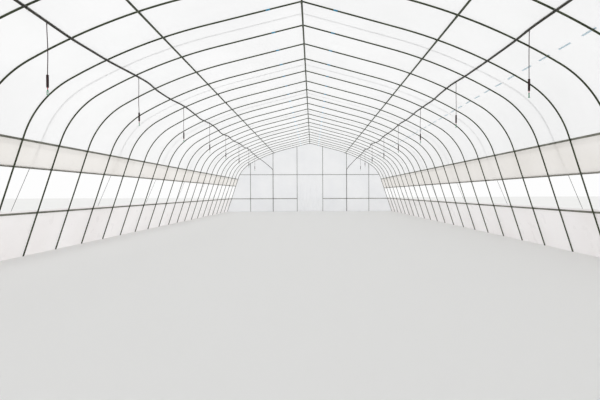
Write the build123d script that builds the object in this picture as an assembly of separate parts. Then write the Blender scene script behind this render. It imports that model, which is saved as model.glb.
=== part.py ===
from build123d import *
import os
from math import acos, cos, degrees, radians, sin, sqrt, tan

os.makedirs("parts", exist_ok=True)

# Polytunnel greenhouse. X runs across the tunnel, Y along it and Z up, in millimetres.
# The origin is on the ground, under the ridge, half way along. The far gable is at +Y.

# Hoop section, on the pipes' centre line
half_span = 4060.0  # ridge line to a hoop's foot, at the ground
leg_length = 1738.0  # of the straight leg, above ground
leg_lean = radians(18.5)  # legs lean inwards, measured from upright
shoulder_radius = 1285.0
shoulder_end_slope = radians(29.94)  # slope of the roof where the shoulder's bend ends
roof_bend_radius = 6750.0
roof_pitch = radians(14.55)  # slope of the straight roof beside the ridge
ridge_bend_radius = 60.0  # of the bent pipe that joins the two half hoops
ridge_bend_reach = 450.0  # from the ridge down the slope to the joint of the pipes

# Frame
hoop_spacing = 800.0
hoop_count = 29
pipe_diameter = 20.0  # of the hoops, the gable posts and the head rails
purlin_diameter = 25.0
purlin_reach = 1755.0  # ridge line to each roof purlin
rail_overhang = 40.0  # what runs along the tunnel stands this far past the end hoops
seat_gap = 0.3  # between two pieces that rest on one another
cut_length = 50.0  # along the tunnel, of the shapes that gable pieces are cut with

# Film, much thinner in the real tunnel
film_thickness = 3.0

# Film channels, with their wire grooves facing outwards
channel_width = 28.0
channel_depth = 11.0
channel_wall = 1.5
channel_flare = 3.0  # each side leans in by this much at the mouth
channel_lip = 4.0
upper_channel_drop = 55.0  # from the top of the straight leg to the upper channel
base_channel_height = 630.0

# Roll-up sides
roll_tube_diameter = 28.0
left_side_open = 0.647  # share of the way from the base channel to the upper one
right_side_open = 0.537

# Gables
door_post_reach = 632.0  # ridge line to each post beside the doorway
middle_post_reach = 1812.0
outer_post_reach = 2920.0
post_reaches = (door_post_reach, middle_post_reach, outer_post_reach)
head_rail_height = 1810.0
curtain_ground_gap = 15.0
door_roll_diameter = 60.0
door_roll_overlap = 40.0  # the rolled curtain is this much wider than the doorway, each side

# Water hoses
left_hose_reach = 2416.0
right_hose_reach = 2334.0
hose_diameter = 25.0
hose_sag = 10.0  # half way between two hoops
# How far each hose strays from its line at the near end hoop, half a bay on, and so on, outwards positive
left_hose_strays = (0, 10, 15, 5, -10, 0, 15, 20, 5, -5, 10, 25, 40, 45, 60, 45, 45, 15, 0, -20, 15, 10, 10, -25)
left_hose_strays += (-25, -20, -5, 10, -5, -35, -25, -20, 10, 25, 10, -30, 0, 5, 10, -25, -25, -30, -5, -15)
left_hose_strays += (-40, -50, -40, -25, 5, -5, -5, 15, 25, 30, 50)
right_hose_strays = (40, 50, 45, 30, 40, 60, 75, 65, 50, 60, 80, 90, 85, 70, 85, 75, 75, 60, 55, 25, 30, 30, 50)
right_hose_strays += (30, 30, 15, 30, 30, 25, 0, 10, 15, 20, 10, 10, -5, 5, 10, 25, 10, -25, -70, -60, -20, 10)
right_hose_strays += (-25, -45, -60, -30, -20, -5, -5, 10, -5, 15)
# Where a hose comes down to its riser: shares of the way out and up to its last hoop, and bays from the gable
hose_fall = ((0.74, 0.84, 0.56), (0.4, 0.54, 0.26), (0.1, 0.26, 0.06), (0.0, 0.13, 0.0))
hose_run_share = 0.45  # an arc takes this share of the shorter run beside it
hose_end_inset = 130.0  # from the near end hoop to the hose's end
path_halvings = 24  # steps that find a hose's point at a place along the tunnel
hose_plug_diameter = 32.0
hose_plug_length = 40.0
hose_line_diameter = 4.0
hose_line_gap = 0.5  # between a hose and the line beside it
hose_line_inset = 150.0  # from the near end hoop to the line's end
riser_drop = 900.0  # from the roof to the top of a riser

# Sprinkler drops, hanging from the hoses
left_drop_inset = 810.0  # from the near end hoop to the first drop
left_drop_spacing = 2145.0
right_drop_inset = 800.0
right_drop_spacing = 2220.0
drop_end_clearance = 1200.0  # from the far end hoop, at least
drop_gap = 0.8  # between the hose and a drop's fitting, as the hose slopes
drop_fitting_diameter = 12.0
drop_fitting_length = 20.0
drop_tube_diameter = 8.0
drop_tube_length = 480.0
drop_weight_diameter = 24.0
drop_weight_length = 125.0
drop_adapter_diameter = 11.0
drop_adapter_length = 20.0
nozzle_diameter = 13.0
nozzle_body_length = 18.0
nozzle_length = 50.0
nozzle_plate_diameter = 24.0
nozzle_plate_thickness = 4.0
nozzle_arm_width = 3.0
nozzle_arm_gap = 1.5  # between the nozzle's body and each of its arms

# Hold-down ropes and their pegs
rope_diameter = 8.0
rope_first_bay = 2.5  # bays from the near end hoop to the first rope
rope_bay_step = 3
rope_stand_off = 170.0  # a rope's lower end stands this far out from the legs' plane
rope_end_height = 45.0
peg_diameter = 16.0
peg_height = 90.0

pipe_radius = pipe_diameter / 2
half_length = hoop_spacing * (hoop_count - 1) / 2
film_seat = pipe_radius + seat_gap  # inner face of everything fixed outside the hoops
film_outside = film_seat + film_thickness
rail_length = 2 * (half_length + rail_overhang)
inside_length = 2 * (half_length + pipe_radius)  # what lies inside the film ends flush with the end hoops
film_length = 2 * (half_length + film_outside)
rope_count = int((hoop_count - 1 - rope_first_bay) / rope_bay_step) + 1

# The hoop section is a leg, a shoulder arc, a wide roof arc and a straight roof up to the ridge, all tangent.
along = Vector(0, 1, 0)
leg_up = Vector(-sin(leg_lean), 0, cos(leg_lean))
leg_out = Vector(cos(leg_lean), 0, sin(leg_lean))
roof_down = Vector(cos(roof_pitch), 0, -sin(roof_pitch))
roof_out = Vector(sin(roof_pitch), 0, cos(roof_pitch))
blend_out = Vector(sin(shoulder_end_slope), 0, cos(shoulder_end_slope))
foot = Vector(half_span, 0, 0)
leg_top = foot + leg_up * leg_length
shoulder_centre = leg_top - leg_out * shoulder_radius
roof_centre = shoulder_centre - blend_out * (roof_bend_radius - shoulder_radius)
straight_end = roof_centre + roof_out * roof_bend_radius
ridge_height = straight_end.Z + straight_end.X * tan(roof_pitch)
ridge = Vector(0, 0, ridge_height)
upper_channel_height = leg_top.Z - upper_channel_drop
vent_height = upper_channel_height - base_channel_height
left_roll_height = base_channel_height + left_side_open * vent_height
right_roll_height = base_channel_height + right_side_open * vent_height


def leg_point(height, out):
    """The point of the right leg's line at a height, so far outside the pipes' centre line."""
    base = foot + leg_out * out
    return base + leg_up * ((height - base.Z) / leg_up.Z)


def ridge_point(out):
    return Vector(0, 0, ridge_height + out / cos(roof_pitch))


def arc_about(centre, radius, start_way, end_way):
    middle_way = (start_way + end_way).normalized()
    return ThreePointArc(centre + start_way * radius, centre + middle_way * radius, centre + end_way * radius)


def roof_edges(out, start_way=leg_out):
    """The shoulder arc and the roof arc of the right half."""
    shoulder = arc_about(shoulder_centre, shoulder_radius + out, start_way, blend_out)
    roof = arc_about(roof_centre, roof_bend_radius + out, blend_out, roof_out)
    return [shoulder, roof]


def half_section(start, out, end):
    """Edges from a point on the leg's line to a point on the straight roof, both so far out."""
    shoulder, roof = roof_edges(out)
    return [Line(start, shoulder @ 0), shoulder, roof, Line(roof @ 1, end)]


def height_of_roof(reach, out):
    """Height of the section above a place between the ridge and the shoulder's top."""
    if reach <= (straight_end + roof_out * out).X:
        return ridge_point(out).Z - reach * tan(roof_pitch)
    if reach <= (roof_centre + blend_out * (roof_bend_radius + out)).X:
        return roof_centre.Z + sqrt((roof_bend_radius + out) ** 2 - (reach - roof_centre.X) ** 2)
    return shoulder_centre.Z + sqrt((shoulder_radius + out) ** 2 - (reach - shoulder_centre.X) ** 2)


def reach_of_side(height, out):
    """Distance from the ridge line to the section at a height."""
    if height <= (leg_top + leg_out * out).Z:
        return leg_point(height, out).X
    if height <= (roof_centre + blend_out * (roof_bend_radius + out)).Z:
        return shoulder_centre.X + sqrt((shoulder_radius + out) ** 2 - (height - shoulder_centre.Z) ** 2)
    if height <= (straight_end + roof_out * out).Z:
        return roof_centre.X + sqrt((roof_bend_radius + out) ** 2 - (height - roof_centre.Z) ** 2)
    return (ridge_point(out).Z - height) / tan(roof_pitch)


def mirrored(solid):
    return mirror(solid, about=Plane.YZ)


def flipped(solid):
    return mirror(solid, about=Plane.XZ)


def above_ground(solid):
    return split(solid, bisect_by=Plane.XY, keep=Keep.TOP)


def round_bar(start, end, diameter):
    bar_way = (end - start).normalized()
    return extrude(Plane(origin=start, z_dir=bar_way) * Circle(diameter / 2), amount=(end - start).length)


def bar_along_tunnel(centre, diameter, length):
    return round_bar(centre - along * (length / 2), centre + along * (length / 2), diameter)


def slab_along_tunnel(edges, length):
    return extrude(make_face(edges), amount=length / 2, dir=along, both=True)


def hoop_places():
    return [hoop_spacing * number - half_length for number in range(hoop_count)]


def on_each_hoop(solid):
    return [Pos(0, place, 0) * solid for place in hoop_places()]


def half_hoop():
    """A half hoop of bent pipe, from the ground to the joint below the ridge."""
    start = leg_point(-pipe_diameter, 0)
    path = Wire(half_section(start, 0, ridge + roof_down * ridge_bend_reach))
    return above_ground(sweep(Plane(origin=start, z_dir=leg_up) * Circle(pipe_radius), path=path))


def ridge_bend():
    """The short bent pipe over the ridge."""
    right_end = ridge + roof_down * ridge_bend_reach
    left_end = Vector(-right_end.X, 0, right_end.Z)
    path = FilletPolyline(left_end, ridge, right_end, radius=ridge_bend_radius)
    left_way = Vector(roof_down.X, 0, -roof_down.Z)
    return sweep(Plane(origin=left_end, z_dir=left_way) * Circle(pipe_radius), path=path)


def ridge_purlin():
    """A straight pipe clipped under the bend of every hoop."""
    bend_drop = ridge_bend_radius * (1 / cos(roof_pitch) - 1)
    height = ridge_height - bend_drop - pipe_radius - seat_gap - purlin_diameter / 2
    return bar_along_tunnel(Vector(0, 0, height), purlin_diameter, inside_length)


def point_under_roof(reach, depth):
    """A point so far inside the pipes' centre line, under the wide roof arc."""
    way = Vector(reach, 0, height_of_roof(reach, 0)) - roof_centre
    return roof_centre + way.normalized() * (way.length - depth)


def roof_purlin():
    centre = point_under_roof(purlin_reach, pipe_radius + seat_gap + purlin_diameter / 2)
    return bar_along_tunnel(centre, purlin_diameter, inside_length)


def channel_section():
    """Half the channel's outline is listed, from the middle of its back to its lip, then mirrored."""
    mouth = channel_width / 2 - channel_flare
    half = [
        (channel_width / 2, 0),
        (mouth, channel_depth),
        (mouth - channel_lip, channel_depth),
        (mouth - channel_lip, channel_depth - channel_wall),
        (mouth - channel_wall, channel_depth - channel_wall),
        (channel_width / 2 - channel_wall, channel_wall),
    ]
    other_half = [(-across, depth) for across, depth in reversed(half)]
    return make_face(Polyline(*half, *other_half, close=True))


def side_channel(height):
    """A film channel on the outside of the right legs."""
    origin = leg_point(height, film_seat) - along * (rail_length / 2)
    return extrude(Plane(origin=origin, x_dir=leg_up, z_dir=along) * channel_section(), amount=rail_length)


def roll_tube(height):
    """The tube that winds the side film up, outside the right legs."""
    out = film_seat + roll_tube_diameter / 2
    return bar_along_tunnel(leg_point(height, out), roll_tube_diameter, rail_length)


def roof_film():
    """One sheet from channel to channel, over the ridge."""
    start = leg_point(upper_channel_height, film_seat) + leg_up * (channel_width / 2 + seat_gap)
    inner = half_section(start, film_seat, ridge_point(film_seat))
    outer_start = start + leg_out * film_thickness
    outer = half_section(outer_start, film_outside, ridge_point(film_outside))
    ends = [Line(start, outer_start), Line(ridge_point(film_seat), ridge_point(film_outside))]
    half = slab_along_tunnel(inner + outer + ends, film_length)
    return half + mirrored(half)


def side_slab(low, high):
    """A flat sheet on the outside of the right legs, from low to high on its inner face."""
    corners = [low, high, high + leg_out * film_thickness, low + leg_out * film_thickness]
    return slab_along_tunnel(Polyline(*corners, close=True).edges(), film_length)


def side_curtain(roll_height):
    """The roll-up film between the upper channel and the roll tube."""
    high = leg_point(upper_channel_height, film_seat) - leg_up * (channel_width / 2 + seat_gap)
    roll_radius = roll_tube_diameter / 2
    tube_foot = leg_point(roll_height, film_seat + roll_radius) - leg_out * roll_radius
    tube_side = sqrt(roll_radius**2 - (roll_radius - film_thickness) ** 2)
    return side_slab(tube_foot + leg_up * (tube_side + seat_gap), high)


def side_skirt():
    """The fixed film between the ground and the base channel."""
    high = leg_point(base_channel_height, film_seat) - leg_up * (channel_width / 2 + seat_gap)
    return above_ground(side_slab(leg_point(-pipe_diameter, film_seat), high))


def region_inside(out, length):
    """Everything under the section, so far out, for cutting gable pieces to its outline."""
    edges = half_section(leg_point(0, out), out, ridge_point(out))
    close = [Line(ridge_point(out), Vector(0, 0, 0)), Line(Vector(0, 0, 0), leg_point(0, out))]
    half = slab_along_tunnel(edges + close, length)
    return half + mirrored(half)


def far_gable_posts():
    """Upright pipes in the plane of the end hoop, from the ground to its underside."""
    limit = Pos(0, half_length, 0) * region_inside(-pipe_radius - seat_gap, cut_length)
    posts = []
    for reach in post_reaches:
        post = round_bar(Vector(reach, half_length, 0), Vector(reach, half_length, ridge_height), pipe_diameter)
        posts.append(post & limit)
    return posts + [mirrored(post) for post in posts]


def far_head_rail():
    """A level pipe on the inner side of the posts, clipped to the end hoop's legs too."""
    rail_reach = reach_of_side(head_rail_height, 0)
    place = half_length - pipe_diameter - seat_gap
    ends = [Vector(way * rail_reach, place, head_rail_height) for way in (-1, 1)]
    return round_bar(ends[0], ends[1], pipe_diameter)


def far_gable_channels():
    """Level film channels on the outside of the posts, one each side of the doorway."""
    inner_end = door_post_reach - pipe_radius
    channel_reach = reach_of_side(base_channel_height + channel_width / 2, pipe_radius)
    origin = Vector(channel_reach, half_length + film_seat, base_channel_height)
    plane = Plane(origin=origin, x_dir=(0, 0, 1), z_dir=(-1, 0, 0))
    right = extrude(plane * channel_section(), amount=channel_reach - inner_end)
    return [mirrored(right), right]


def gable_sheet(inner_reach, outer_reach, low, high):
    """An upright sheet outside the far posts, cut to the section's outline."""
    width = outer_reach - inner_reach
    block = Box(width, film_thickness, high - low, align=(Align.MIN, Align.MIN, Align.MIN))
    sheet = Pos(inner_reach, half_length + film_seat, low) * block
    return sheet & (Pos(0, half_length + film_seat, 0) * region_inside(pipe_radius, cut_length))


def far_gable_side_film():
    low = base_channel_height + channel_width / 2 + seat_gap
    return gable_sheet(door_post_reach - pipe_radius, half_span, low, ridge_height)


def far_gable_film_over_door():
    reach = door_post_reach - pipe_radius - seat_gap
    return gable_sheet(-reach, reach, head_rail_height - pipe_radius, ridge_point(pipe_diameter).Z)


def far_gable_skirt():
    high = base_channel_height - channel_width / 2 - seat_gap
    return gable_sheet(door_post_reach - pipe_radius, half_span + pipe_diameter, 0, high)


def far_door_curtain():
    """The film that hangs in the far doorway from the edge of the sheet above it."""
    reach = door_post_reach - pipe_radius - seat_gap
    return gable_sheet(-reach, reach, curtain_ground_gap, head_rail_height - pipe_radius - seat_gap)


def near_door_roll():
    """The near doorway's curtain, rolled up and tied to the inner side of the head rail."""
    reach = door_post_reach + door_roll_overlap
    rise = door_roll_diameter / 2 - pipe_radius  # the roll's underside is level with the rail's
    apart = door_roll_diameter / 2 + pipe_radius + seat_gap
    place = sqrt(apart**2 - rise**2) - (half_length - pipe_diameter - seat_gap)
    height = head_rail_height + rise
    return round_bar(Vector(-reach, place, height), Vector(reach, place, height), door_roll_diameter)


def laid_route(hose_reach, strays, depth, inset):
    """Points under the right roof at each hoop but the last and half way to the next, so far inside the pipes."""
    route = []
    for step in range(2 * hoop_count - 3):
        reach = hose_reach + strays[step % len(strays)]
        sagging_depth = pipe_radius + seat_gap + depth + hose_sag * (step % 2)
        route.append(point_under_roof(reach, sagging_depth) + along * (hoop_spacing * step / 2 - half_length))
    route[0] = route[0] + along * inset
    return route


def hose_route(hose_reach, strays):
    """A hose's points under the right roof, then down to its riser at the far gable."""
    route = laid_route(hose_reach, strays, hose_diameter / 2, hose_end_inset)
    riser = riser_top()
    last = route[-1]
    for share_out, share_up, bays_back in hose_fall:
        reach = riser.X + share_out * (last.X - riser.X)
        height = riser.Z + share_up * (last.Z - riser.Z)
        route.append(Vector(reach, riser.Y - bays_back * hoop_spacing, height))
    route.append(riser)
    return route


def hose_path(route):
    radii = []
    for before, corner, after in zip(route, route[1:], route[2:]):
        turn = radians((corner - before).get_angle(after - corner))
        shorter = min((corner - before).length, (after - corner).length)
        radii.append(hose_run_share * shorter / tan(turn / 2))
    return FilletPolyline(*route, radius=radii)


def hose(path):
    start_plane = Plane(origin=path @ 0, z_dir=path % 0)
    return sweep(start_plane * Circle(hose_diameter / 2), path=path)


def hose_end_plug(path):
    """A cap pushed on the hose's near end."""
    start = path @ 0
    return round_bar(start, start - (path % 0) * hose_plug_length, hose_plug_diameter)


def riser_top():
    """Top of the pipe that feeds a hose, in front of the far head rail at the middle posts."""
    rail_face = half_length - pipe_diameter - seat_gap - pipe_radius
    height = height_of_roof(middle_post_reach, 0) - riser_drop
    return Vector(middle_post_reach, rail_face - seat_gap - hose_diameter / 2, height)


def riser_pipe():
    top = riser_top()
    return round_bar(Vector(top.X, top.Y, 0), top, hose_diameter)


def hose_line(hose_reach, strays):
    """The thin line that carries a hose's ties. It lies between the hose and the hoops, on the ridge side."""
    apart = (hose_diameter + hose_line_diameter) / 2 + hose_line_gap
    rise = (hose_diameter - hose_line_diameter) / 2
    line_reach = hose_reach - sqrt(apart**2 - rise**2)
    path = hose_path(laid_route(line_reach, strays, hose_line_diameter / 2, hose_line_inset))
    return sweep(Plane(origin=path @ 0, z_dir=path % 0) * Circle(hose_line_diameter / 2), path=path)


def point_at_place(path, place):
    """The point of a hose's path at a place along the tunnel."""
    low, high = 0.0, 1.0
    for _ in range(path_halvings):
        middle = (low + high) / 2
        if (path @ middle).Y < place:
            low = middle
        else:
            high = middle
    return path @ low


def nozzle():
    """A sprinkler head below its origin: a body with a crossbar, two arms and a spreader plate."""
    below = (Align.CENTER, Align.CENTER, Align.MAX)
    above = (Align.CENTER, Align.CENTER, Align.MIN)
    arm_reach = nozzle_diameter / 2 + nozzle_arm_gap + nozzle_arm_width / 2
    bar_top = nozzle_arm_width - nozzle_body_length
    arm_length = nozzle_length - nozzle_plate_thickness / 2 + bar_top
    head = Cylinder(nozzle_diameter / 2, nozzle_body_length, align=below)
    bar_length = 2 * arm_reach + nozzle_arm_width
    head += Pos(0, 0, bar_top) * Box(bar_length, nozzle_arm_width, nozzle_arm_width, align=below)
    for way in (-1, 1):
        head += Pos(way * arm_reach, 0, bar_top) * Box(nozzle_arm_width, nozzle_arm_width, arm_length, align=below)
    return head + Pos(0, 0, -nozzle_length) * Cylinder(nozzle_plate_diameter / 2, nozzle_plate_thickness, align=above)


def drop_pieces(top):
    """A drop's fitting, tube, weight, adapter and nozzle, in line below a point of the hose."""
    heads = {}
    level = top.Z - hose_diameter / 2 - drop_gap
    for name, diameter, length in (
        ("drop_fittings", drop_fitting_diameter, drop_fitting_length),
        ("drop_tubes", drop_tube_diameter, drop_tube_length),
        ("drop_weights", drop_weight_diameter, drop_weight_length),
        ("drop_adapters", drop_adapter_diameter, drop_adapter_length),
    ):
        upper = Vector(top.X, top.Y, level)
        heads[name] = round_bar(upper, upper - Vector(0, 0, length), diameter)
        level = level - length
    heads["drop_nozzles"] = Pos(top.X, top.Y, level) * nozzle()
    return heads


def rope_half():
    """Right half of a hold-down rope, straight from its peg to the shoulder and then on the film."""
    out = film_outside + seat_gap + rope_diameter / 2
    low = leg_point(rope_end_height, rope_stand_off)
    to_low = low - shoulder_centre
    turn = degrees(acos((shoulder_radius + out) / to_low.length))
    touch_way = to_low.normalized().rotate(Axis.Y, -turn)
    shoulder, roof = roof_edges(out, touch_way)
    past_ridge = ridge_point(out) - roof_down * pipe_diameter
    path = Wire([Line(low, shoulder @ 0), shoulder, roof, Line(roof @ 1, past_ridge)])
    start_plane = Plane(origin=low, z_dir=(shoulder @ 0) - low)
    rope = sweep(start_plane * Circle(rope_diameter / 2), path=path)
    return split(rope, bisect_by=Plane.YZ, keep=Keep.TOP)


def rope_places():
    first = rope_first_bay * hoop_spacing - half_length
    return [first + hoop_spacing * rope_bay_step * number for number in range(rope_count)]


def hold_down_ropes():
    half = rope_half()
    whole = half + mirrored(half)
    return [Pos(0, place, 0) * whole for place in rope_places()]


def rope_pegs():
    low = leg_point(rope_end_height, rope_stand_off)
    reach = low.X + rope_diameter / 2 + seat_gap + peg_diameter / 2
    pegs = []
    for place in rope_places():
        for way in (-1, 1):
            start = Vector(way * reach, place, 0)
            pegs.append(round_bar(start, start + Vector(0, 0, peg_height), peg_diameter))
    return pegs


def all_pieces():
    """Every sub-part's solids by name."""
    right_half_hoop = half_hoop()
    right_purlin = roof_purlin()
    right_upper_channel = side_channel(upper_channel_height)
    right_base_channel = side_channel(base_channel_height)
    right_skirt = side_skirt()
    posts = far_gable_posts()
    head_rail = far_head_rail()
    gable_channels = far_gable_channels()
    gable_side = far_gable_side_film()
    over_door = far_gable_film_over_door()
    gable_skirt = far_gable_skirt()
    pieces = {
        "left_hoop_pipes": on_each_hoop(mirrored(right_half_hoop)),
        "right_hoop_pipes": on_each_hoop(right_half_hoop),
        "ridge_bends": on_each_hoop(ridge_bend()),
        "ridge_purlin": [ridge_purlin()],
        "left_roof_purlin": [mirrored(right_purlin)],
        "right_roof_purlin": [right_purlin],
        "left_upper_channel": [mirrored(right_upper_channel)],
        "right_upper_channel": [right_upper_channel],
        "left_base_channel": [mirrored(right_base_channel)],
        "right_base_channel": [right_base_channel],
        "left_roll_tube": [mirrored(roll_tube(left_roll_height))],
        "right_roll_tube": [roll_tube(right_roll_height)],
        "roof_film": [roof_film()],
        "left_side_curtain": [mirrored(side_curtain(left_roll_height))],
        "right_side_curtain": [side_curtain(right_roll_height)],
        "left_skirt_film": [mirrored(right_skirt)],
        "right_skirt_film": [right_skirt],
        "far_gable_posts": posts,
        "near_gable_posts": [flipped(post) for post in posts],
        "far_head_rail": [head_rail],
        "near_head_rail": [flipped(head_rail)],
        "far_gable_channels": gable_channels,
        "near_gable_channels": [flipped(channel) for channel in gable_channels],
        "far_gable_film_left": [mirrored(gable_side)],
        "far_gable_film_right": [gable_side],
        "far_gable_film_over_door": [over_door],
        "far_door_curtain": [far_door_curtain()],
        "near_gable_film_left": [flipped(mirrored(gable_side))],
        "near_gable_film_right": [flipped(gable_side)],
        "near_gable_film_over_door": [flipped(over_door)],
        "near_door_roll": [near_door_roll()],
        "far_gable_skirts": [mirrored(gable_skirt), gable_skirt],
        "near_gable_skirts": [flipped(mirrored(gable_skirt)), flipped(gable_skirt)],
        "hold_down_ropes": hold_down_ropes(),
        "rope_pegs": rope_pegs(),
    }
    pieces.update(watering_pieces())
    return pieces


def watering_pieces():
    """The two hoses with their lines, risers, end plugs and drops."""
    left_route = hose_route(left_hose_reach, left_hose_strays)
    left_path = hose_path([Vector(-point.X, point.Y, point.Z) for point in left_route])
    right_path = hose_path(hose_route(right_hose_reach, right_hose_strays))
    riser = riser_pipe()
    pieces = {
        "left_water_hose": [hose(left_path)],
        "right_water_hose": [hose(right_path)],
        "hose_end_plugs": [hose_end_plug(left_path), hose_end_plug(right_path)],
        "riser_pipes": [mirrored(riser), riser],
        "hose_lines": [
            mirrored(hose_line(left_hose_reach, left_hose_strays)),
            hose_line(right_hose_reach, right_hose_strays),
        ],
    }
    rows = (
        (left_path, left_drop_inset, left_drop_spacing),
        (right_path, right_drop_inset, right_drop_spacing),
    )
    for path, inset, spacing in rows:
        count = int((2 * half_length - inset - drop_end_clearance) / spacing) + 1
        for number in range(count):
            top = point_at_place(path, inset + spacing * number - half_length)
            for name, solid in drop_pieces(top).items():
                pieces.setdefault(name, []).append(solid)
    return pieces


for name, solids in all_pieces().items():
    export_step(Compound(children=solids) if len(solids) > 1 else solids[0], f"parts/{name}.step")
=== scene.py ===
import bpy
import math
import random
from mathutils import Matrix, Vector, noise


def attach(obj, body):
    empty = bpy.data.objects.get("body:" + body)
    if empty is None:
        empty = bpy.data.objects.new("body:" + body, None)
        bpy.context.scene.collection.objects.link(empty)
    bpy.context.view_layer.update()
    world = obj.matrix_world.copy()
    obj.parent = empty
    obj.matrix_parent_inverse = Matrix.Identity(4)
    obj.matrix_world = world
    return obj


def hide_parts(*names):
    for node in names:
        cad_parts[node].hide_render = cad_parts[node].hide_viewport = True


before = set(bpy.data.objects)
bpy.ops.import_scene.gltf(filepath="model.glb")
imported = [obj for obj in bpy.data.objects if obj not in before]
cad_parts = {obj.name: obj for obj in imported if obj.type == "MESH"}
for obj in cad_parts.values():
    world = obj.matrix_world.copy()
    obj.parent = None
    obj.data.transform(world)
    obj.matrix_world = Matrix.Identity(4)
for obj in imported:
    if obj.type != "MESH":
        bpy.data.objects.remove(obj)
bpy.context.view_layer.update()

# Camera. It stands inside the tunnel, a little right of the middle and low down, and looks along it at the
# far gable. The slight turn, tilt, roll and shift put the ridge and the gable where the photograph has them.
eye = (0.129, -10.4825, 0.9)
lens_millimetres = 26.3
turn_right = math.radians(2.035)
tilt_down = math.radians(0.912)
roll_over = math.radians(-0.203)
shift_across = -0.047

camera_data = bpy.data.cameras.new("inside_camera")
camera_data.sensor_width = 36
camera_data.lens = lens_millimetres
camera_data.shift_x = shift_across
camera_data.clip_start = 0.05
camera_data.clip_end = 200
camera = bpy.data.objects.new("inside_camera", camera_data)
camera.location = eye
level_look = Matrix.Rotation(-turn_right, 3, "Z") @ Matrix.Rotation(math.pi / 2 - tilt_down, 3, "X")
camera.rotation_euler = (level_look @ Matrix.Rotation(roll_over, 3, "Z")).to_euler()
bpy.context.scene.collection.objects.link(camera)
bpy.context.scene.camera = camera


# Sprinkler drops. Each is a thin flexible plastic tube that hangs from a water hose and runs down through
# a painted iron weight, which keeps it upright. A barbed adapter joins it to an upside-down sprinkler.
tube_radius = 0.004
tube_length = 0.48
tube_bow = 0.006
weight_radius = 0.012
weight_length = 0.125
adapter_length = 0.02
nozzle_length = 0.05
tube_straight = 0.05
bow_drops = (0.19, 0.33)
weight_lead = 0.02
nozzle_arm_reach = 0.0095
drop_sides = 20
tube_maroon = (0.022, 0.005, 0.007, 1)
tube_worn = (0.045, 0.013, 0.016, 1)
weight_dark = (0.018, 0.006, 0.008, 1)
weight_chipped = (0.05, 0.024, 0.02, 1)
adapter_red = (0.42, 0.035, 0.06, 1)
adapter_faded = (0.55, 0.10, 0.13, 1)
nozzle_green = (0.008, 0.2, 0.09, 1)
nozzle_faded = (0.02, 0.3, 0.15, 1)


def new_material(name):
    material = bpy.data.materials.new(name)
    material.use_nodes = True
    return material, material.node_tree.nodes, material.node_tree.links


def add_node(nodes, kind, **values):
    node = nodes.new(kind)
    for name, value in values.items():
        if name in node.inputs:
            node.inputs[name].default_value = value
        else:
            setattr(node, name, value)
    return node


def speckle(nodes, links, scale, detail=4.0):
    """Cloudy values between 0 and 1, fixed to the object."""
    place = add_node(nodes, "ShaderNodeTexCoord")
    cloud = add_node(nodes, "ShaderNodeTexNoise", Scale=scale, Detail=detail)
    links.new(place.outputs["Object"], cloud.inputs["Vector"])
    return cloud.outputs["Fac"]


def two_tone(nodes, links, factor, dark, pale, low=0.35, high=0.65):
    ramp = add_node(nodes, "ShaderNodeValToRGB")
    ramp.color_ramp.elements[0].color = dark
    ramp.color_ramp.elements[0].position = low
    ramp.color_ramp.elements[1].color = pale
    ramp.color_ramp.elements[1].position = high
    links.new(factor, ramp.inputs["Fac"])
    return ramp.outputs["Color"]


def roughen(nodes, links, shader, factor, smooth, rough):
    spread = add_node(nodes, "ShaderNodeMapRange")
    spread.inputs["To Min"].default_value = smooth
    spread.inputs["To Max"].default_value = rough
    links.new(factor, spread.inputs["Value"])
    links.new(spread.outputs["Result"], shader.inputs["Roughness"])


def emboss(nodes, links, shader, factor, strength, height):
    bump = add_node(nodes, "ShaderNodeBump", Strength=strength, Distance=height)
    links.new(factor, bump.inputs["Height"])
    links.new(bump.outputs["Normal"], shader.inputs["Normal"])


def worn_surface(name, deep, worn, wear_scale, smooth, rough, grain_scale, grain_height, shine=0.3):
    """Two colours in patches, uneven gloss and a fine grain."""
    material, nodes, links = new_material(name)
    shader = nodes["Principled BSDF"]
    shader.inputs["Specular IOR Level"].default_value = shine
    patches = speckle(nodes, links, wear_scale)
    links.new(two_tone(nodes, links, patches, deep, worn), shader.inputs["Base Color"])
    roughen(nodes, links, shader, speckle(nodes, links, 4 * wear_scale), smooth, rough)
    emboss(nodes, links, shader, speckle(nodes, links, grain_scale), 0.3, grain_height)
    return material


def mesh_of(name, shapes, material, sharp_angle=40):
    """One smooth mesh from many (points, faces), with creases where it turns by more than an angle."""
    points = []
    faces = []
    for some_points, some_faces in shapes:
        start = len(points)
        points.extend(tuple(point) for point in some_points)
        faces.extend(tuple(index + start for index in face) for face in some_faces)
    mesh = bpy.data.meshes.new(name)
    mesh.from_pydata(points, [], faces)
    mesh.update()
    mesh.shade_smooth()
    mesh.set_sharp_from_angle(angle=math.radians(sharp_angle))
    mesh.materials.append(material)
    return mesh


def show_piece(name, mesh, place=(0, 0, 0)):
    """Shows a finished mesh as a piece of the object."""
    piece = bpy.data.objects.new(name, mesh)
    piece.location = place
    bpy.context.scene.collection.objects.link(piece)
    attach(piece, "root")
    return piece


def ring_faces(ring_count, sides):
    """Faces between rings of points that follow each other along a tube, and one over each end."""
    faces = []
    for ring in range(ring_count - 1):
        for corner in range(sides):
            after = (corner + 1) % sides
            base = ring * sides
            faces.append((base + corner, base + after, base + sides + after, base + sides + corner))
    faces.append(tuple(range(sides))[::-1])
    faces.append(tuple(range((ring_count - 1) * sides, ring_count * sides)))
    return faces


def turned(profile, sides, rib_depth=0.0):
    """Points and faces of a piece turned about an upright axis, from its (radius, height) pairs, top first.
    Ribs run up it where rib_depth takes some off every second corner."""
    points = []
    for radius, height in profile:
        for corner in range(sides):
            angle = 2 * math.pi * corner / sides
            size = max(0.0, radius - rib_depth * (corner % 2))
            points.append((size * math.cos(angle), size * math.sin(angle), height))
    return points, [face[:1] + face[:0:-1] for face in ring_faces(len(profile), sides)]


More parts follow.
